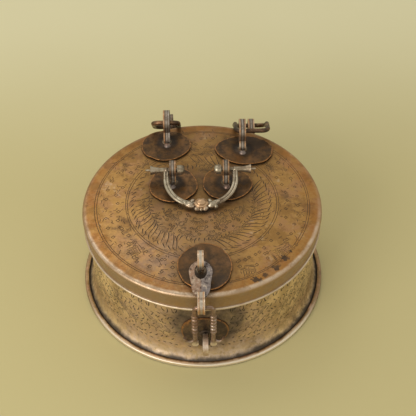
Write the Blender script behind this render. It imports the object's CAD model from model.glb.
import collections
import functools
import math

import bpy
import numpy as np
from bpy.props import FloatProperty, FloatVectorProperty, IntProperty, PointerProperty
from mathutils import Matrix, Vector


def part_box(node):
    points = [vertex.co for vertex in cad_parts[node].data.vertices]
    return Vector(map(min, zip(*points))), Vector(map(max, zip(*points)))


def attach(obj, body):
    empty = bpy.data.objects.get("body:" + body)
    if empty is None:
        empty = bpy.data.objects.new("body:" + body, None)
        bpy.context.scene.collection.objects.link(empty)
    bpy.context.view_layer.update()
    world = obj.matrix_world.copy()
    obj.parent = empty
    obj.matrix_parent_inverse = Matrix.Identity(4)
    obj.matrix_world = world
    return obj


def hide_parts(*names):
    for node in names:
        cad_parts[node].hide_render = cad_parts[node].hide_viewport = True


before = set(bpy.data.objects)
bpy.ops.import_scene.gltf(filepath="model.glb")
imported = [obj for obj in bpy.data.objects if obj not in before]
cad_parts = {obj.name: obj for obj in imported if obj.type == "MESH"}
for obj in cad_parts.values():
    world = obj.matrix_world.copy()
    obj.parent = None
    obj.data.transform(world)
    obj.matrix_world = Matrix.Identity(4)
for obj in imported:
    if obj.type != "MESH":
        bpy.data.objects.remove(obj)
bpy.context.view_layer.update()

bl_info = {
    "name": "Brass paan box",
    "version": (1, 0, 0),
    "blender": (4, 5, 0),
    "location": "3D View > Sidebar > Paan box",
    "description": "Chased and aged finish of a hinged brass paan box",
    "category": "Object",
}

MM = 0.001


def linear(code):
    """Linear colour of an sRGB hex value: each channel follows the standard sRGB curve."""
    channels = np.array([int(code[i:i + 2], 16) for i in (1, 3, 5)]) / 255
    low, high = channels / 12.92, ((channels + 0.055) / 1.055) ** 2.4
    return tuple(float(c) for c in np.where(channels <= 0.04045, low, high))


# ---------------------------------------------------------------- what a user may change
def size(name, description, millimetres):
    return FloatProperty(name=name, description=description, default=millimetres * MM, min=0.0,
                         unit="LENGTH", precision=4)


def colour(name, description, code):
    return FloatVectorProperty(name=name, description=description, size=3, subtype="COLOR", min=0.0,
                               max=1.0, default=linear(code))


class BrassColours(bpy.types.PropertyGroup):
    lid: colour("Lid", "Warm brown gold of the handled lid", "#B48C55")
    palmed: colour("Palmed band", "Orange gold of the lid's band that palms rub", "#A0682F")
    mottle: colour("Lid mottle", "Brown of the lid's ragged blotches", "#7C5A33")
    worn_grey: colour("Worn grey", "Grey pink where the front of the lid is worn", "#9C8270")
    skirt: colour("Skirt", "Brass of the lid's skirt, the tray and the cups", "#A8917B")
    wall: colour("Wall", "Pale brass of the drum", "#EFD3A8")
    olive: colour("Olive", "Olive brown clouds on the drum", "#94794C")
    pale: colour("Worn pale", "Pinkish pale brass low on the front of the drum", "#CDB09C")
    rim: colour("Folded rim", "Brown brass of the folded rim", "#8F7046")
    rim_edge: colour("Rim's edge", "Bright edge of the rim that the table rubs", "#F6E8D6")
    blush: colour("Blush", "Pinkish bloom where old brass has lost its zinc", "#AD8167")
    tarnish: colour("Tarnish", "Brown tarnish that fills the low places", "#5E4935")
    soot: colour("Soot", "Black-brown dirt in chased lines and round the discs", "#2B221D")
    rubbed: colour("Rubbed", "Bright metal where hands rub", "#E5D4C2")
    disc: colour("Disc", "Coppery brown of the cover discs", "#664D33")
    disc_rubbed: colour("Rubbed disc", "Copper brown where a disc is rubbed", "#98683A")
    front_disc: colour("Front disc", "Grey brown over the lid's front disc", "#4B3F36")
    body_disc: colour("Body disc", "Grey brown of the discs on the drum", "#7A6656")
    copper: colour("Disc edge", "Rubbed coppery edge of a disc or a strap", "#BC8450")
    nub: colour("Clench nub", "Grey brass of the nubs before the eyes", "#8C7F7C")
    strap: colour("Strap", "Worn brown-grey of the strap eyes", "#D4C2AE")
    groove: colour("Groove floor", "Grey metal along the middle of a strap's groove", "#B4ADA8")
    knuckle: colour("Knuckle", "Pinkish straps that the hasp keeps bright", "#F6E6D3")
    polished: colour("Polished strap", "Brightest places on those straps", "#FFF6EA")
    staple: colour("Staple", "Pale brass of the staple", "#E2D3C4")
    ring: colour("Ring", "Dark brass of the hinge rings", "#62523F")
    handle: colour("Handle", "Silvery white brass of the cast handle", "#B3AA98")
    silvery: colour("Rubbed handle", "Whitest places of the handle", "#E5E1D7")
    knob: colour("Knob", "Pinkish gold of the handle's knob", "#C9A684")
    hasp: colour("Hasp", "Grey pink brass of the forged hasp", "#A98E7E")
    solder: colour("Old solder", "Bluish grey on the hasp's right slope", "#8C8A90")
    bead: colour("Bead", "Grey cast skin on the stirrup's beads", "#C4C7CE")


class ChasedLines(bpy.types.PropertyGroup):
    line_half_width: size("Line half width", "Half the width of a chased line", 0.48)
    burr: size("Burr", "Height of the ridges that the chisel throws up beside a line", 0.10)
    inner_ring: size("Inner ring", "Radius of the double ring round the feather wreath", 67.0)
    outer_ring: size("Outer ring", "Radius of the double ring near the lid's edge", 94.0)
    feathers: IntProperty(name="Feathers", description="Strokes round the feather wreath", default=74,
                          min=8, max=200)
    ticks: IntProperty(name="Ticks", description="Fine chisel ticks over the whole lid", default=520,
                       min=0, max=2000)


class StudioSettings(bpy.types.PropertyGroup):
    floor: colour("Floor", "Colour of the paper the box stands on", "#C9BF90")
    floor_far: colour("Far floor", "Colour of the paper behind the box", "#DFDAB8")
    sky_colour: colour("Sky colour", "Colour of the even light", "#F3EEDD")
    lamp: colour("Lamp", "Colour of the softboxes", "#FFF8EA")
    sky: FloatProperty(name="Sky", description="Strength of the even light", default=0.74, min=0.0)
    softbox: FloatProperty(name="Softbox", description="Power of the key softbox in watts",
                           default=11.0, min=0.0)
    lens: FloatProperty(name="Lens", description="Focal length of the camera in millimetres",
                        default=86.5, min=10.0)


# ---------------------------------------------------------------- the box's own measures
# in metres: the lid's crown, the radius of its dome and its edge, then the drum and the skirt
LID_TOP, DOME, LID_EDGE = 0.0945, 1.576, 0.1020
WALL_OUTSIDE = 0.1006
AROUND_WALL = 2 * np.pi * WALL_OUTSIDE
HEM_TOP, SHOULDER_FOOT = 0.0745, 0.0905
SKIRT_TOP_RADIUS, SKIRT_FOOT_RADIUS, SKIRT_HOLLOW = 0.1050, 0.1035, 0.0005
GRIP_MIDDLE = (-0.7, -8.14, 98.75)      # middle of the handle's grip, mm
GRIP_DROOP = math.radians(13.3)         # the handle's plane falls this much to the front

# a lid disc: middle, half sizes, foot of its eye, all in mm, and its outline's waves and their turn
Disc = collections.namedtuple("Disc", "middle half foot uneven turn")
LID_DISCS = {
    "rear_left_disc": Disc((-32.5, 73.0), (22.3, 21.4), (-31.5, 77.5), 0.020, 20.0),
    "rear_right_disc": Disc((40.0, 65.0), (26.2, 20.0), (38.2, 66.2), 0.024, 75.0),
    "mid_left_disc": Disc((-25.2, 19.5), (21.6, 21.8), (-25.5, 21.9), 0.020, 140.0),
    "mid_right_disc": Disc((22.6, 19.5), (21.4, 20.8), (21.6, 20.7), 0.022, 10.0),
    "front_lid_disc": Disc((1.5, -75.5), (22.6, 24.2), (-2.0, -79.5), 0.015, 95.0),
}
AROUND_DISC = 144                       # corners round a disc
DISC_GAP, DISC_THICK, DISC_LIFT = 0.3, 1.0, 0.8     # over the sheet, of the metal, of the edge, mm
NUB_RADIUS, NUB_FLARE, NUB_RISE, NUB_SEAT = 2.6, 0.6, 2.1, 1.5                  # clench nubs, mm
NUB_FROM_FOOT = ((0.3, -4.9), (-0.2, -5.0), (-0.6, -5.0), (0.6, -5.0), (0.0, 6.2))
BODY_DISCS = ("front_body_disc", "rear_left_body_disc", "rear_right_body_disc")
STRAP_MIDDLES = (-31.5, 38.2, -25.5, 21.6, -29.5, 48.5)     # across the box, mm
HASP_MIDDLE = -2.0
# black blots along the front right of the lid, in mm: middle and radius
STAINS = (((43.5, -88.5), 8.5), ((51.0, -83.0), 7.0), ((60.0, -75.5), 8.0), ((68.0, -66.0), 7.5),
          ((74.0, -58.0), 5.0))
# rows of leaves round the drum: height, spacing, heading, length and bend, in mm and radians
LEAF_ROWS = (
    (61.0, 8.0, 1.0, 7.0, 0.9), (61.0, 8.0, 2.2, 5.5, -0.9), (54.5, 5.4, 2.5, 3.6, 0.6),
    (49.5, 4.6, 0.75, 4.4, 0.8), (44.5, 4.8, 2.4, 3.8, -0.7), (38.5, 5.6, 0.6, 4.2, 0.9),
    (30.0, 7.0, 1.3, 6.5, 2.4), (30.0, 7.0, 1.9, 4.5, -1.8), (65.5, 5.0, 0.7, 4.2, 0.6),
    (34.5, 5.2, 0.3, 3.6, 0.9), (23.5, 4.8, 0.5, 3.6, 0.7), (18.0, 5.6, 2.6, 3.2, 0.4),
)
# chased work on the drum, in metres: its top, and how far it keeps from the hasp and the hinge
CHASED_TOP, CLEAR_OF_HASP, CLEAR_OF_HINGE = 0.0705, 0.021, 0.070
# the cast flower: the wave of its outlines, its trough (depth, fall, width), its lower half pressed
LOBE_WAVE, TROUGH_DEPTH, TROUGH_FALL, TROUGH_WIDTH, PRESSED = 0.055, 0.16, 0.88, 0.16, 0.74
# where a finish sets in and where it is full: metres from the axis, or up for the last two
WREATH_FIELD, PALMED_BAND, SHOULDER_EDGE = (0.056, 0.040), (0.086, 0.099), (0.1002, 0.1030)
LID_ABOVE, HEM_BRIGHT = (0.0885, 0.0915), (0.0752, 0.0735)
# the same on the drum, all up: worn foot, soot in the fold and tarnish under the lid
WORN_FOOT, FOLD_SOOT, UNDER_LID = (0.028, 0.010), (0.0075, 0.0035), (0.064, 0.072)
# the folded rim's bright edge and sooty inner side from the axis, then the stirrup's hooks and
# the tray's corners up, and the hasp's right slope across
RIM_BRIGHT, RIM_SOOT = (0.1072, 0.1094), (0.1078, 0.1060)
HOOKS_BRIGHT, CORNERS_BROWN, RIGHT_SLOPE = (0.0485, 0.0440), (0.020, 0.003), (-0.0030, -0.0008)
# patches of finish in metres: middle and radius
LID_WORN_FRONT = ((-0.030, -0.070, LID_TOP), 0.085)
WALL_PALE_FRONT = ((-0.010, -WALL_OUTSIDE, 0.028), 0.110)
BEHIND_HASP = ((0.003, -WALL_OUTSIDE, 0.050), 0.052)
BOSS_GOLD, KNOB_GOLD = ((-0.0007, -0.0085, 0.0980), 0.0105), ((-0.0007, -0.0088, 0.1020), 0.0095)
# widths of the metals' patterns in mm: clouds where hands went, bloom, mottle, pits and hairs.
# Real pits and polishing hairs are finer; they are drawn as coarse as they need to show.
CLOUDS_MM, BLOOM_MM, MOTTLE_MM, PITS_MM, HAIRS_MM = 34.0, 19.0, 6.5, 1.1, 2.6
# the camera in metres: its place, the way it looks and its right hand
CAMERA_PLACE = (0.0, -0.61227, 0.71891)
CAMERA_AHEAD, CAMERA_RIGHT = (0.0059, 0.6948, -0.7192), (0.99983, -0.01665, -0.00785)


def dome_height(radius):
    """Height of the domed lid: the dome's centre plus the cap of its circle at that radius."""
    return LID_TOP - DOME + np.sqrt(DOME ** 2 - radius ** 2)


def on_top(middle):
    """A place given in mm on the flat of the lid's top."""
    return middle[0] * MM, middle[1] * MM, LID_TOP


def on_lid(points, height):
    """Places (x, y) on the lid at a height above it: z is the dome's height there plus that height."""
    x, y = points[..., 0], points[..., 1]
    return np.stack([x + 0 * height, y + 0 * height, dome_height(np.hypot(x, y)) + height], -1)


def round_the_box(s, z, reach, roll):
    """Places at arc length s from the front: the angle is s over roll, at a reach from the axis."""
    return np.stack([reach * np.sin(s / roll), -reach * np.cos(s / roll), z], -1)


def on_wall(points, height):
    """Places (s, z) on the drum, at its outside plus a height."""
    return round_the_box(points[..., 0], points[..., 1] + 0 * height, WALL_OUTSIDE + height, WALL_OUTSIDE)


def on_skirt(points, height):
    """Places (s, z) on the lid's skirt, whose radius falls evenly to the hem less a shallow parabola."""
    share = (points[..., 1] - HEM_TOP) / (SHOULDER_FOOT - HEM_TOP)
    radius = SKIRT_FOOT_RADIUS + (SKIRT_TOP_RADIUS - SKIRT_FOOT_RADIUS) * share
    radius = radius - SKIRT_HOLLOW * 4 * share * (1 - share) + height
    return round_the_box(points[..., 0], points[..., 1] + 0 * height, radius, SKIRT_TOP_RADIUS)


def from_front(s):
    """Arc length the short way round from the front of the drum, negative to the left."""
    return (s + AROUND_WALL / 2) % AROUND_WALL - AROUND_WALL / 2


def far_from_discs(strokes, room=1.02):
    """True for strokes that stay outside every cover disc, as an oval a little larger than it."""
    clear = np.ones(len(strokes), bool)
    for disc in LID_DISCS.values():
        away = (strokes / MM - disc.middle) / disc.half
        clear &= np.hypot(away[..., 0], away[..., 1]).min(1) > room
    return clear & (np.hypot(strokes[..., 0], strokes[..., 1]).max(1) < LID_EDGE - 2 * MM)


# ---------------------------------------------------------------- making meshes
def quads_of(rows, columns, close_columns=False, count=1):
    """Corner numbers of the quads of count grids laid one after another, each rows by columns."""
    i, j = np.meshgrid(np.arange(rows - 1), np.arange(columns if close_columns else columns - 1),
                       indexing="ij")
    after = (j + 1) % columns
    one = np.stack([i * columns + j, (i + 1) * columns + j, (i + 1) * columns + after,
                    i * columns + after], -1).reshape(-1, 4)
    return (one[None] + (np.arange(count) * rows * columns)[:, None, None]).reshape(-1, 4)


def add_piece(name, vertices, faces, body, material, values=None):
    """Puts arrays of corners and faces into a smooth mesh, with named values per corner."""
    mesh = bpy.data.meshes.new(name)
    mesh.from_pydata(np.asarray(vertices, float).reshape(-1, 3).tolist(), [], np.asarray(faces).tolist())
    mesh.polygons.foreach_set("use_smooth", np.ones(len(mesh.polygons), bool))
    for key, value in (values or {}).items():
        layer = mesh.attributes.new(key, "FLOAT", "POINT")
        layer.data.foreach_set("value", np.asarray(value, np.float32).ravel())
    mesh.materials.append(material)
    mesh.update()
    piece = bpy.data.objects.new(name, mesh)
    bpy.context.scene.collection.objects.link(piece)
    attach(piece, body)
    return piece


# a chased line's section: sheet, burr, the floor of the cut and back, across in half widths
GROOVE_ACROSS = np.array([-1.9, -1.15, -0.45, 0.45, 1.15, 1.9])
GROOVE_DEPTH = np.array([0.05, 0.0, 1.0, 1.0, 0.0, 0.05])       # how much soot each corner holds
GROOVE_RISE = np.array([0, 1, 0.12, 0.12, 1, 0])                # height in burrs
SHEET_EDGE = np.array([-0.02, 0, 0, 0, 0, -0.02]) * MM          # the outer corners sink into the sheet
STRIP_LIFT = 0.015 * MM


def chased(name, strokes, half_widths, place, body, material, burr):
    """Chased lines as fine strips that lie on a surface.

    Each stroke is a row of places in the surface's plane, and across it runs the groove's
    section.  The strip's direction is the difference of neighbouring places, and its side
    is that turned by a right angle.
    """
    ahead = np.gradient(strokes, axis=1)
    ahead /= np.maximum(np.linalg.norm(ahead, axis=-1, keepdims=True), 1e-9)
    left = np.stack([-ahead[..., 1], ahead[..., 0]], -1)
    across = half_widths[..., None] * GROOVE_ACROSS
    points = strokes[:, :, None] + left[:, :, None] * across[..., None]
    thick = np.clip(half_widths / half_widths.max(), 0.25, 1)[..., None]
    vertices = place(points, SHEET_EDGE + thick * burr * GROOVE_RISE + STRIP_LIFT)
    count, steps = strokes.shape[:2]
    faces = quads_of(steps, len(GROOVE_ACROSS), count=count)
    depth = np.broadcast_to(GROOVE_DEPTH, (count, steps, len(GROOVE_ACROSS)))
    return add_piece(name, vertices, faces, body, material, {"cut": depth})


def curls(start, heading, length, bend, power=1.0, steps=12, hook=0.0):
    """Curved strokes: the heading turns by bend times the share of length to a power.

    hook turns both ends the same way, by hook times the fourth power of twice the share
    less one, which makes an S with a straight middle.
    """
    heading, length, bend = (np.broadcast_to(value, len(start)) for value in (heading, length, bend))
    share = np.linspace(0, 1, steps)
    angle = heading[:, None] + bend[:, None] * share ** power + hook * (2 * share - 1) ** 4
    step = (length / (steps - 1))[:, None, None] * np.stack([np.cos(angle), np.sin(angle)], -1)
    return start[:, None] + np.cumsum(step, 1) - step


def comma(strokes, half_width, head=0.0):
    """Half widths that swell to the head and run out to a point, as a chisel leaves them."""
    share = np.linspace(0, 1, strokes.shape[1])
    swell = np.sin(np.pi * np.clip(0.06 + 0.92 * share ** (0.5 + head), 0, 1)) ** 0.7
    return np.broadcast_to(half_width * np.maximum(swell, 0.08), strokes.shape[:2])


def even(strokes, half_width):
    """The same half width all along, as a punch or a compass leaves it."""
    return np.full(strokes.shape[:2], half_width)


def loops(centres, radius, steps=14):
    """Small closed rings about centres, as a ring punch leaves them."""
    angle = np.linspace(0, 2 * np.pi, steps)
    circle = np.stack([np.cos(angle), np.sin(angle)], -1)
    return centres[:, None] + radius[:, None, None] * circle


def polar(radius, angle):
    """Places at a radius and an angle."""
    return np.stack([radius * np.cos(angle), radius * np.sin(angle)], -1)


def turns(count):
    """Angles that share out a full turn evenly."""
    return np.arange(count) * 2 * np.pi / count


def about(rng, middle_mm, spread_mm, count):
    """Lengths that stray about a middle one, as a hand without a rule sets them."""
    return (middle_mm + rng.normal(0, spread_mm, count)) * MM


# ---------------------------------------------------------------- materials
# a maker's word for each use of a node: its type, settings, inputs in the order given, output
NODES = {
    "place": ("TexCoord", {}, (), "Object"),
    "value": ("Attribute", {}, (), "Fac"),
    "x": ("SeparateXYZ", {}, (0,), 0),
    "y": ("SeparateXYZ", {}, (0,), 1),
    "z": ("SeparateXYZ", {}, (0,), 2),
    "plus": ("Math", {"operation": "ADD"}, (0, 1), 0),
    "less": ("Math", {"operation": "SUBTRACT"}, (0, 1), 0),
    "times": ("Math", {"operation": "MULTIPLY"}, (0, 1), 0),
    "larger": ("Math", {"operation": "MAXIMUM"}, (0, 1), 0),
    "smaller": ("Math", {"operation": "MINIMUM"}, (0, 1), 0),
    "unsigned": ("Math", {"operation": "ABSOLUTE"}, (0,), 0),
    "away": ("VectorMath", {"operation": "SUBTRACT"}, (0, 1), 0),
    "scaled": ("VectorMath", {"operation": "MULTIPLY"}, (0, 1), 0),
    "length": ("VectorMath", {"operation": "LENGTH"}, (0,), 1),
    "turned": ("Mapping", {}, ("Location", "Rotation", "Scale", "Vector"), 0),
    "ramp": ("MapRange", {"interpolation_type": "SMOOTHSTEP"}, (0, 1, 2, 3, 4), 0),
    "blend": ("Mix", {"data_type": "RGBA"}, (0, 6, 7), 2),
    "clouds": ("TexNoise", {}, ("Vector", "Scale", "Detail", "Roughness"), 0),
    "dents": ("TexVoronoi", {"feature": "SMOOTH_F1"}, ("Vector", "Scale", "Smoothness"), 0),
    "open sky": ("AmbientOcclusion", {"samples": 8}, ("Distance",), "AO"),
    "bump": ("Bump", {}, ("Height", "Distance", "Strength"), 0),
}


def add_node(tree, use, *values, **settings):
    """Adds a node for a use in the table, sets or links its inputs, and gives its output."""
    kind, fixed, inputs, output = NODES[use]
    node = tree.nodes.new("ShaderNode" + kind)
    for key, value in {**fixed, **settings}.items():
        setattr(node, key, value)
    for key, value in zip(inputs, values):
        socket = node.inputs[key]
        if isinstance(value, bpy.types.NodeSocket):
            tree.links.new(value, socket)
        else:
            socket.default_value = (*value, 1.0) if socket.type == "RGBA" else value
    return node.outputs[output]


def grain(millimetres):
    """Scale of a pattern whose blotches are about that wide."""
    return 1 / (millimetres * MM)


def wander(add, place, grain_mm, reach, detail, roughness):
    """A length that wanders in clouds, by up to half a reach either side of nought."""
    return add("times", add("less", add("clouds", place, grain(grain_mm), detail, roughness), 0.5), reach)


def patch(add, place, centre, radius):
    """1 at a centre and 0 beyond a radius from it."""
    return add("ramp", add("length", add("away", place, centre)), 0.0, radius, 1.0, 0.0)


def from_axis(add, place):
    """Distance from the box's upright axis."""
    return add("length", add("scaled", place, (1.0, 1.0, 0.0)))


def aged_metal(name, body, tones, tarnish=None, rubbed=None, hammer_mm=8.0, dents_mm=0.06,
               tarnish_from=0.5, rubbed_from=0.62, roughness=0.40, blush=0.5, zones=None,
               chased_lines=False, crevice_mm=5.0):
    """Hand-worked brass that has been handled for years.

    Large clouds say where tarnish lies, finer ones break its edge, and the opposite end of
    the same clouds is rubbed bright; other clouds bring a pinkish bloom.  The relief adds
    hammer dents, a fine pitted grain and hair scratches.  zones takes the way to add a
    node, the place and the colour so far, and gives back the colour and a share of dirt.
    chased_lines fills the cuts of chased strips, which carry their depth as the value
    "cut", with soot.  Where other surfaces crowd within crevice_mm, old polish and dust
    have gone black.
    """
    tarnish, rubbed = tarnish or tones.tarnish, rubbed or tones.rubbed
    material = bpy.data.materials.new(name)
    material.use_nodes = True
    tree = material.node_tree
    add = functools.partial(add_node, tree)
    place = add("place")
    clouds = add("clouds", place, grain(CLOUDS_MM), 5.0, 0.62)
    mottle = add("clouds", place, grain(MOTTLE_MM), 5.0, 0.65)
    pits = add("clouds", place, grain(PITS_MM), 3.0, 0.6)
    bloom = add("clouds", place, grain(BLOOM_MM), 4.0, 0.68)
    mixed = add("plus", add("times", clouds, 0.52), add("times", mottle, 0.48))
    now = add("blend", add("ramp", bloom, 0.46, 0.62, 0.0, blush), body, tones.blush)
    dark = add("ramp", mixed, tarnish_from - 0.02, tarnish_from + 0.12)
    now = add("blend", add("times", dark, 0.72), now, tarnish)
    bright = add("ramp", add("less", 1.0, mixed), rubbed_from - 0.06, rubbed_from + 0.10)
    now = add("blend", add("times", bright, 0.5), now, rubbed)
    now = add("blend", add("times", add("ramp", pits, 0.60, 0.72), 0.45), now, tarnish)
    dirt = add("times", dark, 0.55)
    if zones:
        now, more = zones(add, place, now)
        dirt = add("larger", dirt, more)
    if chased_lines:
        cut = add("ramp", add("value", attribute_name="cut"), 0.15, 0.8)
        now = add("blend", add("times", cut, 0.93), now, tones.soot)
        dirt = add("larger", dirt, cut)
    crowded = add("times", add("ramp", add("open sky", crevice_mm * MM), 0.80, 0.30),
                  add("ramp", mottle, 0.35, 0.6, 0.55, 0.95))
    now = add("blend", crowded, now, tones.soot)
    dirt = add("larger", dirt, crowded)
    rough = add("plus", add("ramp", mottle, 0.3, 0.7, roughness - 0.07, roughness + 0.08),
                add("times", dirt, 0.22))

    # relief in mm, added up: dents, the mottle's unevenness, pits, and hairs drawn out along x
    hammered = add("dents", place, grain(hammer_mm), 0.9)
    drawn = add("turned", (0.0, 0.0, 0.0), (0.3, 0.2, 0.5), (1.0, 14.0, 1.0), place)
    hairs = add("clouds", drawn, grain(HAIRS_MM), 2.0, 0.5)
    relief = add("times", hammered, dents_mm)
    for height, deep_mm in ((mottle, 0.03), (pits, 0.014), (hairs, 0.006)):
        relief = add("plus", relief, add("times", height, deep_mm))
    shader = tree.nodes["Principled BSDF"]
    for key, value in (("Base Color", now), ("Roughness", rough), ("Normal", add("bump", relief, MM, 1.0)),
                       ("Metallic", add("ramp", dirt, 0.1, 1.0, 0.86, 0.30))):
        tree.links.new(value, shader.inputs[key])
    return material


def dress(material, *names):
    """Gives the named modelled parts a material, through their own slots."""
    for name in names:
        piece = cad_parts[name]
        if not piece.material_slots:
            piece.data.materials.append(material)
        for slot in piece.material_slots:
            slot.material = material


class PAAN_OT_shell(bpy.types.Operator):
    """Finishes the drum, the folded base and the lid's sheet"""
    bl_idname = "paan.shell"
    bl_label = "Shell finish"

    def execute(self, context):
        tones = context.scene.paan_brass
        dress(lid_metal(tones), "lid_shell")
        dress(wall_metal(tones), "body_wall")

        # Folded rim: the hammer has left it wavy and the table has rubbed its edge bright
        # and pinkish; black dirt sits in the fold beside the wall.
        def rim_zones(add, place, now):
            waved = add("plus", from_axis(add, place), wander(add, place, 10.0, 0.004, 3.0, 0.6))
            front = add("ramp", add("y", place), -0.02, -0.09)
            edge = add("times", add("ramp", waved, *RIM_BRIGHT), add("ramp", front, 0.0, 1.0, 0.10, 1.0))
            now = add("blend", edge, now, tones.rim_edge)
            inner = add("ramp", waved, *RIM_SOOT)
            now = add("blend", add("times", inner, 0.9), now, tones.soot)
            return now, add("times", inner, 0.8)

        dress(aged_metal("folded_rim_brass", tones.rim, tones, hammer_mm=5.0, dents_mm=0.12,
                         tarnish_from=0.54, blush=0.8, zones=rim_zones), "base_plate")
        return {"FINISHED"}


def lid_metal(tones):
    """Planished sheet, handled for decades.

    Warm gold where palms rub the band between the wreath and the edge, browner and greyer
    in the wreath, black round the discs, pale along the turned-down shoulder.
    """
    def zones(add, place, now):
        z, radius = add("z", place), from_axis(add, place)
        ragged = wander(add, place, 9.0, 0.030, 5.0, 0.7)
        wobbly = add("plus", radius, ragged)
        field = add("ramp", wobbly, *WREATH_FIELD)
        now = add("blend", add("times", field, 0.30), now, tones.tarnish)
        worn = patch(add, place, *LID_WORN_FRONT)
        patchy = add("ramp", add("clouds", place, grain(13.0), 5.0, 0.75), 0.40, 0.58, 0.25, 0.75)
        now = add("blend", add("times", worn, patchy), now, tones.worn_grey)
        behind = add("ramp", add("y", place), 0.052, 0.098, 0.0, 0.38)
        now = add("blend", behind, now, tones.tarnish)
        dirt = add("times", field, 0.18)
        above = add("ramp", z, *LID_ABOVE)
        warm = add("times", add("ramp", wobbly, *PALMED_BAND), above)
        patchy = add("ramp", add("clouds", place, grain(11.0), 5.0, 0.75), 0.38, 0.60, 0.25, 0.65)
        now = add("blend", add("times", warm, patchy), now, tones.palmed)
        for name, disc in LID_DISCS.items():
            room = 2.15 if "mid" in name else 1.75      # the handle keeps cloths off its two discs
            near = patch(add, place, on_top(disc.middle), room * max(disc.half) * MM)
            near = add("times", near, add("ramp", ragged, -0.006, 0.004, 0.45, 1.0))
            now = add("blend", add("times", near, 0.95), now, tones.soot)
            dirt = add("larger", dirt, add("times", near, 0.8))
        blots = wander(add, place, 5.0, 2.2, 4.0, 0.75)
        for middle, wide in STAINS:
            spot = add("plus", patch(add, place, on_top(middle), wide * MM), blots)
            near = add("ramp", patch(add, place, on_top(middle), 1.3 * wide * MM), 0.02, 0.2)
            spot = add("times", add("ramp", spot, 0.36, 0.56), near)
            now = add("blend", add("times", spot, 0.85), now, tones.soot)
            dirt = add("larger", dirt, add("times", spot, 0.8))
        edge = add("ramp", add("plus", radius, add("times", ragged, 0.06)), *SHOULDER_EDGE)
        shoulder = add("times", add("times", edge, above), add("ramp", ragged, -0.009, 0.004, 0.4, 1.0))
        front = add("ramp", add("y", place), 0.015, -0.055, 0.12, 1.0)
        shoulder = add("times", shoulder, front)
        now = add("blend", add("times", shoulder, 0.85), now, tones.rubbed)
        brown = add("ramp", add("clouds", place, grain(16.0), 5.0, 0.75), 0.47, 0.60, 0.0, 0.45)
        now = add("blend", add("times", brown, above), now, tones.mottle)
        skirt = add("ramp", z, *reversed(LID_ABOVE))
        around = add("scaled", place, (1.0, 1.0, 0.7))
        streak = add("ramp", add("clouds", around, grain(9.0), 5.0, 0.78), 0.40, 0.64, 0.45, 0.9)
        now = add("blend", add("times", skirt, streak), now, tones.skirt)
        hem = add("times", add("ramp", z, *HEM_BRIGHT), add("ramp", ragged, -0.009, 0.004, 0.3, 0.9))
        hem = add("times", hem, front)
        now = add("blend", hem, now, tones.rubbed)
        return now, dirt

    return aged_metal("planished_lid_brass", tones.lid, tones, hammer_mm=11.0, dents_mm=0.05,
                      tarnish_from=0.56, blush=0.45, zones=zones, chased_lines=True)


def wall_metal(tones):
    """Drawn sheet, chased all over.

    Olive where it was never polished, pinkish and worn pale low at the front, sooty where
    it meets the folded rim and behind the hasp.
    """
    def zones(add, place, now):
        z = add("z", place)
        cloud = wander(add, place, 12.0, 0.030, 5.0, 0.7)
        front = add("ramp", patch(add, place, *WALL_PALE_FRONT), 0.05, 0.55)
        broken = add("ramp", add("clouds", place, grain(5.0), 5.0, 0.75), 0.40, 0.58)
        front = add("times", front, add("ramp", broken, 0.0, 1.0, 0.25, 0.85))
        now = add("blend", front, now, tones.pale)
        worn = add("times", add("ramp", add("plus", z, cloud), *WORN_FOOT), front)
        now = add("blend", add("times", worn, 0.6), now, tones.rubbed)
        olive = add("ramp", add("clouds", place, grain(15.0), 6.0, 0.78), 0.42, 0.60, 0.0, 0.48)
        olive = add("times", olive, add("ramp", front, 0.1, 0.6, 1.0, 0.35))
        now = add("blend", olive, now, tones.olive)
        stain = add("ramp", add("clouds", place, grain(8.0), 5.0, 0.8), 0.54, 0.70, 0.0, 0.38)
        now = add("blend", stain, now, tones.tarnish)
        low = add("ramp", add("plus", z, add("times", cloud, 0.25)), *FOLD_SOOT)
        now = add("blend", add("times", low, 0.9), now, tones.soot)
        behind = add("ramp", patch(add, place, *BEHIND_HASP), 0.10, 0.55)
        behind = add("times", behind, add("ramp", cloud, -0.008, 0.006, 0.55, 1.0))
        now = add("blend", add("times", behind, 0.92), now, tones.soot)
        under = add("ramp", z, *UNDER_LID)
        now = add("blend", add("times", under, 0.6), now, tones.tarnish)
        return now, add("larger", add("times", low, 0.8), add("times", behind, 0.7))

    return aged_metal("chased_wall_brass", tones.wall, tones, hammer_mm=7.0, dents_mm=0.08,
                      tarnish_from=0.52, rubbed_from=0.58, roughness=0.42, blush=0.35, zones=zones,
                      chased_lines=True)


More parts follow.
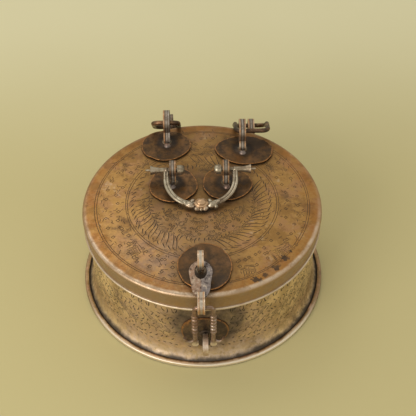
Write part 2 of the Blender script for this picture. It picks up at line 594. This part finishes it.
class PAAN_OT_lid_chasing(bpy.types.Operator):
    """Chases the rings, the feather wreath, the scrolls and the stamps on the lid"""
    bl_idname = "paan.lid_chasing"
    bl_label = "Lid chasing"

    def execute(self, context):
        lines = context.scene.paan_lines
        metal = bpy.data.materials["planished_lid_brass"]
        rng = np.random.default_rng(11)
        wide = lines.line_half_width

        def cut(name, strokes, widths, deep=1.0):
            return chased(name, strokes, widths, on_lid, "lid", metal, lines.burr * deep)

        # rings: turned with a compass, a corner per degree, so they close on themselves
        angle = np.linspace(0, 2 * np.pi, 361)
        radii = np.array([lines.inner_ring, lines.inner_ring - 1.9 * MM,
                          lines.outer_ring, lines.outer_ring - 1.7 * MM])
        waver = 0.18 * MM * np.sin(angle * np.array([[3], [4], [2], [5]]) + 1)
        rings = polar(radii[:, None] + waver, angle[None])
        cut("lid_rings", rings, even(rings, wide * 0.55), 0.7)

        # feather wreath: long S strokes, steep on the left and slanting on the right, with
        # a short tick between each two and a row of hooks inside
        count = lines.feathers
        turn = turns(count) + rng.normal(0, 0.010, count)
        lean = 0.95 + 0.20 * np.cos(turn) + rng.normal(0, 0.03, count)
        barbs = curls(polar(about(rng, 46.5, 0.4, count), turn), turn + lean,
                      about(rng, 21.0 + 3.0 * np.cos(turn), 0.6, count), -0.55, 1.0, 20, 0.95)
        ticks = curls(polar(about(rng, 59.0, 0.5, count), turn + 0.11), turn + lean + 0.1,
                      about(rng, 5.5, 0.5, count), 0.4, 1.0, 20)
        inner = curls(polar(about(rng, 43.5, 0.6, count), turn), turn - 0.7 + rng.normal(0, 0.1, count),
                      about(rng, 5.5, 0.6, count), 1.3 + rng.normal(0, 0.2, count), 1.0, 20)
        strokes = np.concatenate([barbs, ticks, inner])
        strokes = strokes[far_from_discs(strokes)]
        cut("lid_feathers", strokes, comma(strokes, wide * 1.1, 0.1))

        # scrolls between the discs: spirals that tighten as they go, in a ring
        count = 22
        turn = turns(count) + rng.normal(0, 0.05, count)
        side = np.where(np.arange(count) % 2 == 0, 1.0, -1.0)
        spirals = curls(polar(34.0 * MM, turn), turn + side * 0.9, 18.0 * MM, side * 6.4, 1.35, 26)
        spirals = spirals[far_from_discs(spirals)]
        cut("lid_scrolls", spirals, comma(spirals, wide))

        # fans of short strokes in the field inside the wreath, front and back
        fan = np.linspace(-0.7, 0.7, 9)
        centres = np.array([[-30, -30], [-12, -34], [8, -36], [27, -31], [0, 45], [-9, 62], [6, 66],
                            [44, -5], [-46, -2], [-4, -20], [14, -18], [-20, -16], [30, -12], [2, -8],
                            [2, 34], [4, 56], [-48, 44], [58, 40]]) * MM
        out = np.arctan2(centres[:, 1], centres[:, 0])[:, None] + fan
        base = centres[:, None] + polar(1.5 * MM, out)
        fans = curls(base.reshape(-1, 2), out.ravel(), 8.0 * MM, np.tile(fan * 0.9, len(centres)), 1.0, 8)
        fans = fans[far_from_discs(fans)]
        cut("lid_fans", fans, comma(fans, wide * 0.85))

        # square punches in two staggered rows round the plain band, and in clusters
        count = 46
        band = np.concatenate([polar(about(rng, 74.5, 0.8, count), turns(count)),
                               polar(about(rng, 85.0, 0.8, count), turns(count) + np.pi / count)])
        groups = np.array([[-50, -64], [-63, -47], [68, -48], [36, -70], [-22, -84], [-36, -68],
                           [54, -62]]) * MM
        clusters = (groups[:, None] + rng.normal(0, 5.0, (len(groups), 4, 2)) * MM).reshape(-1, 2)
        centres = np.concatenate([band, clusters])
        stamps = loops(centres, rng.uniform(1.25, 1.75, len(centres)) * MM, 5)
        stamps = stamps[far_from_discs(stamps)]
        cut("lid_stamps", stamps, even(stamps, wide * 0.75))

        # ring punches in the field below the handle
        count = 90
        field = polar(rng.uniform(20, 43, count) * MM, rng.uniform(-2.9, -0.25, count))
        small = loops(field, rng.uniform(0.8, 1.3, count) * MM, 11)
        small = small[far_from_discs(small)]
        cut("lid_ring_punches", small, even(small, wide * 0.75))

        # fine ticks all over, which follow the turning of the lid
        count = lines.ticks
        where = polar(np.sqrt(rng.uniform(0.12, 0.92, count)) * 0.0985, rng.uniform(0, 2 * np.pi, count))
        outward = np.arctan2(where[:, 1], where[:, 0])
        heading = outward + rng.choice([1.2, 1.9, 0.5], count) + rng.normal(0, 0.15, count)
        ticks = curls(where, heading, rng.uniform(2.2, 5.2, count) * MM, rng.normal(0, 0.6, count), 1.0, 7)
        ticks = ticks[far_from_discs(ticks)]
        cut("lid_ticks", ticks, comma(ticks, wide * 0.62, 0.2), 0.6)

        # lattice patches: two families of short parallel cuts
        patches = []
        for x, y, lean in ((-57, -54, 0.5), (70, -55, 2.3), (63, -62, 2.1), (38, -79, 1.7)):
            offset = (np.arange(6) - 2.5) * 2.1 * MM
            for heading in (lean, lean + 1.5):
                side = np.array([-math.sin(heading), math.cos(heading)])
                ahead = np.array([math.cos(heading), math.sin(heading)])
                start = np.array([x, y]) * MM + offset[:, None] * side - 5.5 * MM * ahead
                patches.append(curls(start + rng.normal(0, 0.5, (6, 2)) * MM, heading,
                                     rng.uniform(8, 12, 6) * MM, rng.normal(0, 0.15, 6), 1.0, 8))
        patches = np.concatenate(patches)
        patches = patches[far_from_discs(patches)]
        cut("lid_lattice", patches, comma(patches, wide * 0.8))
        return {"FINISHED"}


class PAAN_OT_wall_chasing(bpy.types.Operator):
    """Chases rows of commas, leaf sprays and punched dots on the drum and the skirt"""
    bl_idname = "paan.wall_chasing"
    bl_label = "Wall chasing"

    def execute(self, context):
        lines = context.scene.paan_lines
        metal = bpy.data.materials["chased_wall_brass"]
        rng = np.random.default_rng(23)
        wide = lines.line_half_width

        def row(height, spacing, heading, length, bend):
            """A row of like strokes right round the drum."""
            count = int(AROUND_WALL / (spacing * MM))
            s = np.arange(count) * AROUND_WALL / count + rng.normal(0, 0.6, count) * MM
            start = np.stack([s, about(rng, height, 0.8, count)], -1)
            spread = rng.normal(0, 0.14, count)
            length = length * MM * (1 + rng.normal(0, 0.14, count))
            return curls(start, heading + spread, length, bend + spread, 1.0, 8)

        def cut(name, strokes, widths, place=on_wall, body="base", slot="brass_body", deep=1.0):
            return chased(name, strokes, widths, place, body, metal, lines.burr * deep)

        leaves = np.concatenate([row(*like) for like in LEAF_ROWS])
        # the front keeps clear of the body disc, and the back of the hinge's own discs
        s = from_front(leaves[..., 0])
        top = leaves[..., 1].max(1)
        front = (np.abs(s).min(1) < CLEAR_OF_HASP) & (top > 0.020)
        hinge = ((AROUND_WALL / 2 - np.abs(s)).min(1) < CLEAR_OF_HINGE) & (top > 0.043)
        keep = leaves[~front & ~hinge & (top < CHASED_TOP)]
        cut("wall_commas", keep, comma(keep, wide * 1.35, 0.2))

        # leaf sprays each side of the hasp: a long stem with barbs that grow shorter
        sprays = []
        for side in (-1, 1):
            for first, height, lean in ((25, 31, 0.55), (60, 34, 0.45), (98, 31, 0.55)):
                origin = np.array([[side * first, height]]) * MM
                heading = lean if side > 0 else np.pi - lean
                stem = curls(origin, heading, 40.0 * MM, side * 0.25, 1.0, 24)
                share = np.linspace(0.12, 0.95, 15)
                where = stem[0][(share * (stem.shape[1] - 1)).astype(int)]
                for turn in (0.55, -0.55):
                    sprays.append(curls(where, heading + turn, (9.5 - 6.0 * share) * MM, -turn * 0.6,
                                        1.0, 24))
                sprays.append(stem)
        sprays = np.concatenate(sprays)
        sprays = sprays[sprays[..., 1].max(1) < 0.0700]
        cut("wall_sprays", sprays, comma(sprays, wide * 1.1, 0.1))

        # punched dots between the leaves, clear of the hasp and the hinge
        count = 260
        centres = np.stack([rng.uniform(0, AROUND_WALL, count), rng.uniform(0.018, 0.066, count)], -1)
        s = from_front(centres[:, 0])
        centres = centres[(np.abs(s) > 0.024) & (AROUND_WALL / 2 - np.abs(s) > CLEAR_OF_HINGE)]
        pits = loops(centres, rng.uniform(0.30, 0.62, len(centres)) * MM, 9)
        cut("wall_dots", pits, even(pits, wide * 0.9), deep=0.6)

        # slanting strokes right round the skirt, on the lid's own sheet
        metal = bpy.data.materials["planished_lid_brass"]
        count = 84
        s = turns(count) * SKIRT_TOP_RADIUS
        start = np.stack([s + rng.normal(0, 0.5, count) * MM, about(rng, 78.5, 0.4, count)], -1)
        heading = 0.9 + rng.normal(0, 0.08, count)
        skirt = curls(start, heading, about(rng, 9.0, 0.6, count), 0.5, 1.0, 9)
        cut("skirt_strokes", skirt, comma(skirt, wide * 0.75), on_skirt, "lid", "brass_lid", 0.6)
        return {"FINISHED"}


class PAAN_OT_discs(bpy.types.Operator):
    """Beats the cover discs: dished, wavy at the edge, with a nub before each eye"""
    bl_idname = "paan.discs"
    bl_label = "Cover discs"

    def execute(self, context):
        tones = context.scene.paan_brass

        # Sheet cut with shears and beaten hollow: dark brown tarnish, with the cut edge
        # rubbed coppery and soot round the eye.
        def disc_zones(add, place, now):
            rim, nub = add("value", attribute_name="rim"), add("value", attribute_name="nub")
            broken = add("ramp", add("clouds", place, grain(3.0), 4.0, 0.7), 0.35, 0.65, 0.12, 0.9)
            hollow = add("times", add("ramp", nub, 0.02, 0.5), add("ramp", nub, 0.95, 0.6))
            now = add("blend", add("times", hollow, 0.8), now, tones.soot)
            now = add("blend", add("times", add("ramp", nub, 0.8, 1.0), 0.4), now, tones.handle)
            forward = add("ramp", add("y", place), -0.030, -0.055, 0.0, 0.42)
            now = add("blend", forward, now, tones.front_disc)
            edge = add("times", add("ramp", rim, 0.95, 0.99), broken)
            return add("blend", edge, now, tones.copper), add("times", hollow, 0.7)

        metal = aged_metal("beaten_disc_dark_brown", tones.disc, tones, tarnish=tones.soot,
                           rubbed=tones.disc_rubbed, hammer_mm=6.0, dents_mm=0.16, tarnish_from=0.47,
                           rubbed_from=0.56, roughness=0.38, blush=0.12, zones=disc_zones)
        for number, (name, disc) in enumerate(LID_DISCS.items()):
            self.lid_disc(name, disc, metal, number)

        # The body's discs are the modelled ones: the same dark sheet, edge rubbed by its radius.
        def body_zones(add, place, now):
            broken = add("ramp", add("clouds", place, grain(3.0), 4.0, 0.7), 0.35, 0.65, 0.12, 0.75)
            for name in BODY_DISCS:
                low, high = (np.array(corner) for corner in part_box(name))
                middle, half = (low + high) / 2, (high - low) / 2
                off = add("scaled", add("away", place, middle), (1 / half[0], 0.0, 1 / half[2]))
                far = add("length", off)
                edge = add("times", add("ramp", far, 0.935, 0.965), add("ramp", far, 1.3, 1.1))
                now = add("blend", add("times", edge, broken), now, tones.copper)
            return now, 0.0

        dress(aged_metal("beaten_body_disc_brown", tones.body_disc, tones, tarnish=tones.soot,
                         rubbed=tones.disc, hammer_mm=6.0, dents_mm=0.12, tarnish_from=0.42,
                         rubbed_from=0.64, roughness=0.44, blush=0.1, zones=body_zones), *BODY_DISCS)
        self.nubs(tones)
        return {"FINISHED"}

    def nubs(self, tones):
        """Round clench nubs on the sheet in front of each eye: domes turned from a quarter circle.

        The profile runs from the pole down a sphere and flares at the foot; radius and height
        are the sine and cosine of the same angle, pressed a little flat.
        """
        # Ends of a strap, beaten round and never polished: grey, with soot at the foot.
        metal = aged_metal("clench_nub_grey_brass", tones.nub, tones, tarnish=tones.soot,
                           rubbed=tones.strap, hammer_mm=1.6, dents_mm=0.12, tarnish_from=0.48,
                           roughness=0.42, blush=0.4)
        centres = np.array([disc.foot for disc in LID_DISCS.values()]) + NUB_FROM_FOOT
        fall, angle = np.linspace(0.0, 1.0, 12), turns(24)
        reach = NUB_RADIUS * np.sin(fall * np.pi / 2) + NUB_FLARE * fall ** 6
        rise = NUB_RISE * np.cos(fall * np.pi / 2)
        # the foot turns down into the sheet and closes underneath
        reach = np.concatenate([[0.0], reach[1:], reach[-1:] * 0.96, [0.0]])
        rise = np.concatenate([rise, [-0.5], [-0.5]])
        flat = centres[:, None, None] + polar(reach[:, None], angle)
        seat = dome_height(np.hypot(centres[:, 0], centres[:, 1]) * MM) / MM + NUB_SEAT
        height = np.broadcast_to((seat[:, None] + rise)[:, :, None], flat.shape[:3])
        points = np.concatenate([flat, height[..., None]], -1)
        faces = quads_of(len(rise), len(angle), close_columns=True, count=len(centres))
        add_piece("clench_nubs", points * MM, faces, "lid", metal)

    def lid_disc(self, name, disc, metal, number):
        """One disc: rings of places from the middle out, over the edge and back underneath.

        The outline's radius is its oval times one plus a few waves round it.  Its height is
        a parabola, plus shear facets and curls that grow towards the edge, plus a nub whose
        side falls smoothly from the eye's foot.
        """
        rng = np.random.default_rng(100 + number)
        angle = turns(AROUND_DISC)
        phase = math.radians(disc.turn)
        waves = (np.cos(2 * angle + phase) + 0.8 * np.cos(3 * angle - 2 * phase)
                 + 0.5 * np.cos(5 * angle + 3 * phase))
        snips = sum(np.cos(k * angle + rng.uniform(0, 6.28)) for k in (7, 9, 11, 13)) * 0.0035
        reach = 1 + disc.uneven * waves + snips
        share = np.concatenate([np.linspace(0.0, 0.9, 16), np.linspace(0.93, 1.0, 6)])
        spread = disc.half * polar(1.0, angle) * reach[:, None]
        flat = disc.middle + share[:, None, None] * spread
        curl = sum(np.cos(k * angle + rng.uniform(0, 6.28)) * a for k, a in ((3, 0.16), (5, 0.14), (8, 0.08)))
        lift = DISC_LIFT * share[:, None] ** 2 + curl * share[:, None] ** 6
        from_foot = np.hypot(flat[..., 0] - disc.foot[0], flat[..., 1] - disc.foot[1])
        nub = np.clip((6.4 - from_foot) / 2.6, 0, 1)
        nub = nub * nub * (3 - 2 * nub)
        ground = dome_height(np.hypot(flat[..., 0], flat[..., 1]) * MM) / MM
        top = np.dstack([flat, ground + DISC_GAP + DISC_THICK + lift + 1.15 * nub])
        bottom = np.dstack([flat, ground + DISC_GAP + lift])
        edge_out = top[-1:] * 0.5 + bottom[-1:] * 0.5
        edge_out[..., :2] += spread / np.linalg.norm(spread, axis=-1, keepdims=True) * 0.12
        rows = np.concatenate([top, edge_out, bottom[::-1]])
        rim = np.repeat(np.concatenate([share, [1.0], 0.97 * share[::-1]])[:, None], AROUND_DISC, 1)
        nubs = np.concatenate([nub, 0 * nub[:1], 0 * nub])
        from_foot = np.concatenate([from_foot, from_foot[-1:], from_foot[::-1] + 20])
        soft = np.clip((13.0 - from_foot) / 12.0, 0, 0.5)
        faces = quads_of(len(rows), AROUND_DISC, close_columns=True)[:, ::-1]
        piece = add_piece("beaten_" + name, rows * MM, faces, "lid", metal,
                          {"rim": rim, "nub": np.maximum(nubs, soft)})
        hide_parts(name)


class PAAN_OT_straps(bpy.types.Operator):
    """Finishes the strap eyes and the hinge rings"""
    bl_idname = "paan.straps"
    bl_label = "Straps and rings"

    def execute(self, context):
        tones = context.scene.paan_brass

        # Filed strip: raised edges rubbed coppery gold, dirt down the groove between them.
        def grooved(middles, half_groove, half_width, soot=0.72):
            def zones(add, place, now):
                x, off = add("x", place), 1.0
                for middle in middles:
                    off = add("smaller", add("unsigned", add("less", x, middle * MM)), off)
                middle = add("ramp", off, 0.45 * half_groove * MM, 0.25 * half_groove * MM)
                groove = add("ramp", off, (half_groove + 0.35) * MM, (half_groove - 0.1) * MM)
                edge = add("ramp", off, half_groove * MM, (half_groove + 0.4) * MM)
                inside = add("ramp", off, half_width * MM, (half_width - 0.15) * MM, 0.25, 1.0)
                edge = add("times", edge, inside)
                broken = add("ramp", add("clouds", place, grain(4.0), 4.0, 0.7), 0.35, 0.6, 0.35, 1.0)
                worn = add("times", add("times", edge, broken), 0.8)
                now = add("blend", worn, now, tones.copper)
                now = add("blend", add("times", groove, soot), now, tones.soot)
                floor = add("times", add("times", middle, broken), 0.8)
                now = add("blend", floor, now, tones.groove)
                return now, add("times", add("less", groove, middle), 0.3)
            return zones

        dress(aged_metal("forged_strap_brass", tones.strap, tones, hammer_mm=3.0, dents_mm=0.12,
                         tarnish_from=0.48, rubbed_from=0.58, roughness=0.37,
                         zones=grooved(STRAP_MIDDLES, 1.7, 2.9)),
              "rear_left_eye", "rear_right_eye", "mid_left_eye", "mid_right_eye", "rear_left_body_eye",
              "rear_right_body_eye")
        # The hasp works on these, so they stay bright and pinkish.
        dress(aged_metal("rubbed_strap_brass", tones.knuckle, tones, tarnish=tones.strap,
                         rubbed=tones.polished, hammer_mm=3.0, dents_mm=0.08, tarnish_from=0.50,
                         rubbed_from=0.55, roughness=0.32, blush=0.7,
                         zones=grooved((HASP_MIDDLE,), 1.2, 2.4, 0.35)), "front_lid_eye", "hasp_knuckle")
        # The stirrup and the lock rub the staple, so it is pale all over.
        dress(aged_metal("worn_staple_brass", tones.staple, tones, hammer_mm=2.5, dents_mm=0.10,
                         tarnish_from=0.52, rubbed_from=0.55, roughness=0.36, blush=0.6), "front_body_eye")
        # Forged rod of the hinge rings: the darkest metal on the box, almost black inside.
        dress(aged_metal("forged_ring_brass", tones.ring, tones, tarnish=tones.soot, rubbed=tones.copper,
                         hammer_mm=3.5, dents_mm=0.22, tarnish_from=0.46, rubbed_from=0.60,
                         roughness=0.38), "rear_left_ring", "rear_right_ring")
        return {"FINISHED"}


class PAAN_OT_handle(bpy.types.Operator):
    """Finishes the cast handle"""
    bl_idname = "paan.handle"
    bl_label = "Handle"

    def execute(self, context):
        tones = context.scene.paan_brass

        # Cast white brass: silvery where rubbed, darker behind its ridges, with a pinkish
        # gold boss in the middle.
        def boss_zone(add, place, now):
            gold = add("ramp", patch(add, place, *BOSS_GOLD), 0.15, 0.45)
            now = add("blend", add("times", gold, 0.85), now, tones.rubbed)
            return add("blend", add("times", gold, 0.30), now, tones.blush), 0.0

        dress(aged_metal("cast_white_brass", tones.handle, tones, rubbed=tones.silvery, hammer_mm=2.5,
                         dents_mm=0.10, tarnish_from=0.50, rubbed_from=0.55, roughness=0.32, blush=0.25,
                         zones=boss_zone), "bail_handle")
        self.flower(tones)
        return {"FINISHED"}

    def flower(self, tones):
        """The cast flower on the middle of the grip: a ringed knob, leaves and petals.

        Each is an oval about its own middle: x and y are its half sizes times the sine of
        the fall and the cosine and sine of the turn, z is its rise times the cosine of the
        fall.  The outline gains a cosine wave round it, and the rise a trough part way down
        that leaves the knob with a ring.  The lower half is pressed flatter, to clear the lid.
        """
        def knob(add, place, now):
            gold = add("ramp", patch(add, place, *KNOB_GOLD), 0.12, 0.35)
            return add("blend", add("times", gold, 0.9), now, tones.knob), 0.0

        # The handle's own white brass, with soot left between the petals and a pinkish gold knob.
        cast = aged_metal("cast_flower_white_brass", tones.handle, tones, tarnish=tones.soot, hammer_mm=2.0,
                          dents_mm=0.12, tarnish_from=0.50, rubbed_from=0.50, roughness=0.33, blush=0.3,
                          zones=knob, crevice_mm=4.0)
        # middle across and forward, half sizes and rise, turn, lobes, depth of the trough
        forms = np.array([
            [0.0, 0.0, 6.5, 5.0, 4.9, 0.0, 6, 0.8], [-3.6, 4.6, 2.6, 2.2, 2.3, 0.3, 3, 0.3],
            [3.6, 4.6, 2.6, 2.2, 2.3, -0.3, 3, 0.3], [0.0, 5.4, 1.7, 1.6, 1.9, 0.0, 3, 0.3],
            [-9.9, 0.9, 4.6, 2.9, 3.0, 0.30, 2, 0.5], [9.9, 0.9, 4.6, 2.9, 3.0, -0.30, 2, 0.5],
            [-14.3, -1.3, 3.3, 2.1, 2.5, 0.80, 2, 0.4], [14.3, -1.3, 3.3, 2.1, 2.5, -0.80, 2, 0.4],
            [-7.6, -3.0, 2.4, 1.7, 2.1, -0.5, 3, 0.2], [7.6, -3.0, 2.4, 1.7, 2.1, 0.5, 3, 0.2],
        ])
        middle_x, forward, half_x, half_y, rise, turned, lobes, trough = forms.T[:, :, None, None]
        fall, round_it = np.linspace(0, np.pi, 25)[:, None], turns(36)
        reach = np.sin(fall) * (1 + LOBE_WAVE * np.cos(lobes * round_it) * np.sin(fall))
        ring = 1 - TROUGH_DEPTH * trough * np.exp(-((fall - TROUGH_FALL) / TROUGH_WIDTH) ** 2)
        u, v = half_x * reach * np.cos(round_it) * ring, half_y * reach * np.sin(round_it) * ring
        up = rise * np.cos(fall) * ring * np.where(fall > np.pi / 2, PRESSED, 1.0) + 0 * round_it
        along = middle_x + u * np.cos(turned) - v * np.sin(turned)
        ahead = forward + u * np.sin(turned) + v * np.cos(turned)
        x = GRIP_MIDDLE[0] + along
        y = GRIP_MIDDLE[1] - ahead * math.cos(GRIP_DROOP) - up * math.sin(GRIP_DROOP)
        z = GRIP_MIDDLE[2] - ahead * math.sin(GRIP_DROOP) + up * math.cos(GRIP_DROOP)
        faces = quads_of(len(fall), len(round_it), close_columns=True, count=len(forms))[:, ::-1]
        add_piece("handle_flower", np.stack([x, y, z], -1) * MM, faces, "bail", cast)


class PAAN_OT_hasp(bpy.types.Operator):
    """Finishes the hasp plate and its stirrup"""
    bl_idname = "paan.hasp"
    bl_label = "Hasp"

    def execute(self, context):
        tones = context.scene.paan_brass

        # Forged plate: pinker on its left slope, bluish grey on its right, as old solder leaves it.
        def slopes(add, place, now):
            right = add("ramp", add("x", place), *RIGHT_SLOPE)
            now = add("blend", add("times", right, 0.7), now, tones.solder)
            scale = add("clouds", place, grain(3.2), 4.0, 0.7)
            black = add("ramp", scale, 0.50, 0.62, 0.0, 0.8)
            now = add("blend", add("ramp", scale, 0.44, 0.34, 0.0, 0.6), now, tones.rubbed)
            now = add("blend", black, now, tones.soot)
            return now, add("times", black, 0.7)

        dress(aged_metal("forged_hasp_brass", tones.hasp, tones, hammer_mm=3.0, dents_mm=0.18,
                         tarnish_from=0.52, rubbed_from=0.56, roughness=0.38, blush=0.6, zones=slopes),
              "hasp_plate")

        # Cast stirrup: brown, with a grey cast skin on its beads and bright worn hooks.
        def hooks(add, place, now):
            low = add("ramp", add("z", place), *HOOKS_BRIGHT)
            return add("blend", add("times", low, 0.85), now, tones.rubbed), 0.0

        dress(aged_metal("cast_stirrup_brass", tones.hasp, tones, rubbed=tones.bead, hammer_mm=2.5,
                         dents_mm=0.15, tarnish_from=0.47, rubbed_from=0.52, roughness=0.34,
                         zones=hooks), "hasp_stirrup")
        return {"FINISHED"}


class PAAN_OT_inside(bpy.types.Operator):
    """Finishes the lift-out tray and the cups"""
    bl_idname = "paan.inside"
    bl_label = "Tray and cups"

    def execute(self, context):
        tones = context.scene.paan_brass

        # Plain sheet that was tinned and scoured: duller and greyer than the outside, brown in
        # the corners.
        def scoured(add, place, now):
            low = add("ramp", add("z", place), *CORNERS_BROWN)
            now = add("blend", add("times", low, 0.4), now, tones.tarnish)
            return now, add("times", low, 0.3)

        names = ["leaf_tray", "centre_cup"] + ["outer_cup_%d" % number for number in range(1, 7)]
        dress(aged_metal("scoured_inner_brass", tones.skirt, tones, hammer_mm=6.0, dents_mm=0.05,
                         tarnish_from=0.55, rubbed_from=0.58, roughness=0.36, zones=scoured), *names)
        return {"FINISHED"}


class PAAN_OT_stage(bpy.types.Operator):
    """Sets the paper floor, the soft light and the camera"""
    bl_idname = "paan.stage"
    bl_label = "Studio"

    def execute(self, context):
        scene, studio = context.scene, context.scene.paan_studio
        mesh = bpy.data.meshes.new("paper_floor")
        u = np.linspace(-30, 30, 5)
        x, y = np.meshgrid(u, u, indexing="ij")
        mesh.from_pydata(np.stack([x, y, 0 * x], -1).reshape(-1, 3).tolist(), [], quads_of(5, 5).tolist())
        floor = bpy.data.objects.new("paper_floor", mesh)
        scene.collection.objects.link(floor)
        paper = bpy.data.materials.new("matt_backing_paper")
        paper.use_nodes = True
        tree = paper.node_tree
        shader = tree.nodes["Principled BSDF"]
        # Matt dyed paper: one even colour with a very faint cloud, and a tooth that is drawn
        # 1.2 mm wide, coarser than real, so that it shows.
        add = functools.partial(add_node, tree)
        place = add("place")
        cloud = add("clouds", place, grain(260.0), 2.0, 0.5)
        tint = add("blend", add("ramp", add("y", place), 0.08, 0.46), studio.floor, studio.floor_far)
        shade = [0.86 * channel for channel in studio.floor]
        tint = add("blend", add("ramp", cloud, 0.3, 0.7, 0.0, 0.08), tint, shade)
        tree.links.new(tint, shader.inputs["Base Color"])
        shader.inputs["Roughness"].default_value = 0.9
        tooth = add("bump", add("clouds", place, grain(1.2), 3.0, 0.6), 0.1 * MM, 0.5)
        tree.links.new(tooth, shader.inputs["Normal"])
        mesh.materials.append(paper)

        world = bpy.data.worlds.new("even_studio")
        scene.world = world
        world.use_nodes = True
        background = world.node_tree.nodes["Background"]
        background.inputs["Color"].default_value = (*studio.sky_colour, 1.0)
        background.inputs["Strength"].default_value = studio.sky

        self.softbox("key_softbox", (-0.95, -1.05, 0.82), (0.0, 0.0, 0.05), 1.0, studio.softbox)
        self.softbox("rear_softbox", (-0.50, 0.80, 1.45), (0.0, 0.0, 0.08), 0.8, studio.softbox * 0.22)

        camera = bpy.data.cameras.new("camera")
        camera.lens = studio.lens
        camera.sensor_width = 36.0
        viewer = bpy.data.objects.new("camera", camera)
        scene.collection.objects.link(viewer)
        ahead, right = np.array(CAMERA_AHEAD), np.array(CAMERA_RIGHT)
        up = np.cross(right, ahead)
        turn = Matrix(np.stack([right, up, -ahead], 1).tolist())
        viewer.matrix_world = Matrix.Translation(CAMERA_PLACE) @ turn.to_4x4()
        scene.camera = viewer
        scene.view_settings.view_transform = "Standard"
        return {"FINISHED"}

    def softbox(self, name, place, target, width, power):
        """A square lamp at a place, turned to its target."""
        lamp = bpy.data.lights.new(name, "AREA")
        lamp.size = width
        lamp.energy = power
        lamp.color = bpy.context.scene.paan_studio.lamp
        item = bpy.data.objects.new(name, lamp)
        bpy.context.scene.collection.objects.link(item)
        aim = Matrix.Translation(place)
        direction = Matrix.Translation(target).to_translation() - aim.to_translation()
        item.matrix_world = aim @ direction.to_track_quat("-Z", "Y").to_matrix().to_4x4()


class PAAN_PT_panel(bpy.types.Panel):
    """Lists the steps that finish the box"""
    bl_idname = "PAAN_PT_panel"
    bl_label = "Paan box"
    bl_space_type = "VIEW_3D"
    bl_region_type = "UI"
    bl_category = "Paan box"

    def draw(self, context):
        for group in (context.scene.paan_brass, context.scene.paan_lines, context.scene.paan_studio):
            for key in group.__annotations__:
                self.layout.prop(group, key)
        for step in STEPS:
            self.layout.operator(step.bl_idname)


GROUPS = {"paan_brass": BrassColours, "paan_lines": ChasedLines, "paan_studio": StudioSettings}
STEPS = (PAAN_OT_shell, PAAN_OT_lid_chasing, PAAN_OT_wall_chasing, PAAN_OT_discs, PAAN_OT_straps,
         PAAN_OT_handle, PAAN_OT_hasp, PAAN_OT_inside, PAAN_OT_stage)


def register():
    for kind in (*GROUPS.values(), *STEPS, PAAN_PT_panel):
        bpy.utils.register_class(kind)
    for key, kind in GROUPS.items():
        setattr(bpy.types.Scene, key, PointerProperty(type=kind))


def unregister():
    for key in GROUPS:
        delattr(bpy.types.Scene, key)
    for kind in reversed((*GROUPS.values(), *STEPS, PAAN_PT_panel)):
        bpy.utils.unregister_class(kind)


def main():
    register()
    for step in STEPS:
        group, name = step.bl_idname.split(".")
        getattr(getattr(bpy.ops, group), name)()


if __name__ == "__main__":
    main()
